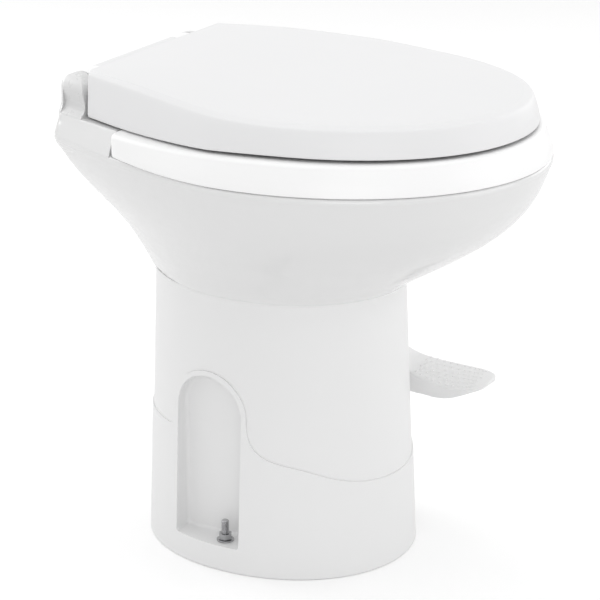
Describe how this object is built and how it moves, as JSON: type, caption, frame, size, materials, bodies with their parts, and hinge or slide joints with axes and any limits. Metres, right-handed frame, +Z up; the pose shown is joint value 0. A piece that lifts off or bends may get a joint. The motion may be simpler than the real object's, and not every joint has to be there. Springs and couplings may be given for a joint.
{
  "type": "rv toilet",
  "caption": "Gravity-flush camper toilet with soft-close lid and seat, china bowl, two-piece pedestal and a foot pedal geared to a half-ball valve.",
  "frame": {"origin": "on the floor, under the middle of the whole object", "axes": "+X towards the front of the seat, +Y towards the foot pedal's side, +Z up"},
  "size_m": [0.4735, 0.397, 0.496],
  "materials": {
    "lid_plastic": "satin white moulded seat-lid plastic",
    "seat_plastic": "glossy white moulded seat plastic",
    "china": "glazed white china",
    "hinge_plastic": "glossy white plastic",
    "pedestal_plastic": "satin white moulded plastic",
    "pedal_plastic": "matte white moulded plastic",
    "steel": "plain stainless steel",
    "black_rubber": "soft black rubber",
    "grey_rubber": "grey rubber",
    "grey_plastic": "grey moulded plastic",
    "ivory_plastic": "ivory acetal plastic"
  },
  "bodies": {
    "base": {"ball_pivot_bushing": "ivory_plastic", "ball_shaft_bushing": "ivory_plastic", "base_skirt": "pedestal_plastic", "bowl": "china", "bowl_bolt_1": "steel", "bowl_bolt_2": "steel", "bowl_bolt_3": "steel", "bowl_bolt_4": "steel", "floor_bolt_far": "steel", "floor_bolt_near": "steel", "floor_nut_far": "steel", "floor_nut_near": "steel", "floor_seal": "grey_rubber", "floor_washer_far": "steel", "floor_washer_near": "steel", "flush_ball_seal": "black_rubber", "hinge_anchor_far": "black_rubber", "hinge_anchor_near": "black_rubber", "hinge_pin": "steel", "hinge_post_far": "hinge_plastic", "hinge_post_near": "hinge_plastic", "hinge_stud_far": "steel", "hinge_stud_near": "steel", "hose_clamp_high": "steel", "hose_clamp_low": "steel", "inlet_nut": "grey_plastic", "outlet_pipe": "grey_plastic", "pedal_bushing": "ivory_plastic", "pedestal_shroud": "pedestal_plastic", "return_spring": "steel", "rinse_hose": "grey_rubber", "rinse_nozzle": "ivory_plastic", "valve_body": "grey_plastic", "water_valve": "grey_plastic"},
    "pedal": {"foot_pedal": "pedal_plastic", "pedal_shaft": "steel", "sector_gear": "ivory_plastic", "pedal_screw": "steel", "pedal_washer": "steel"},
    "ball": {"flush_ball": "ivory_plastic", "ball_shaft": "steel", "ball_pivot": "steel", "drive_pinion": "ivory_plastic", "valve_cam": "ivory_plastic"},
    "plunger": {"valve_plunger": "ivory_plastic"},
    "seat": {"seat_ring": "seat_plastic", "seat_foot_1": "grey_rubber", "seat_foot_2": "grey_rubber", "seat_foot_3": "grey_rubber", "seat_foot_4": "grey_rubber"},
    "lid": {"lid": "lid_plastic", "lid_foot_1": "grey_rubber", "lid_foot_2": "grey_rubber", "soft_close_damper_near": "grey_plastic", "soft_close_damper_far": "grey_plastic"}
  },
  "joints": [
    {"name": "pedal_press", "type": "hinge", "parent": "base", "child": "pedal", "pos_m": [-0.012, 0, 0.222], "axis": [0, 1, 0], "range_deg": [0, 30], "stiffness_Nm_per_rad": 1, "springref_deg": -20.05, "deforming": ["return_spring"]},
    {"name": "ball_turn", "type": "hinge", "parent": "base", "child": "ball", "pos_m": [-0.045, 0, 0.252], "axis": [0, 1, 0], "range_deg": [-100, 0]},
    {"name": "plunger_push", "type": "slide", "parent": "base", "child": "plunger", "axis": [-1, 0, 0], "range_m": [0, 0.0081]},
    {"name": "seat_lift", "type": "hinge", "parent": "base", "child": "seat", "pos_m": [-0.2098, 0, 0.4665], "axis": [0, -1, 0], "range_deg": [0, 90]},
    {"name": "lid_lift", "type": "hinge", "parent": "seat", "child": "lid", "pos_m": [-0.2098, 0, 0.4665], "axis": [0, -1, 0], "range_deg": [0, 90]}
  ],
  "couplings": [
    {"joint": "ball_turn", "follows": "pedal_press", "ratio": -3.3333},
    {"joint": "plunger_push", "follows": "pedal_press", "m_per_rad": 0.01528}
  ]
}
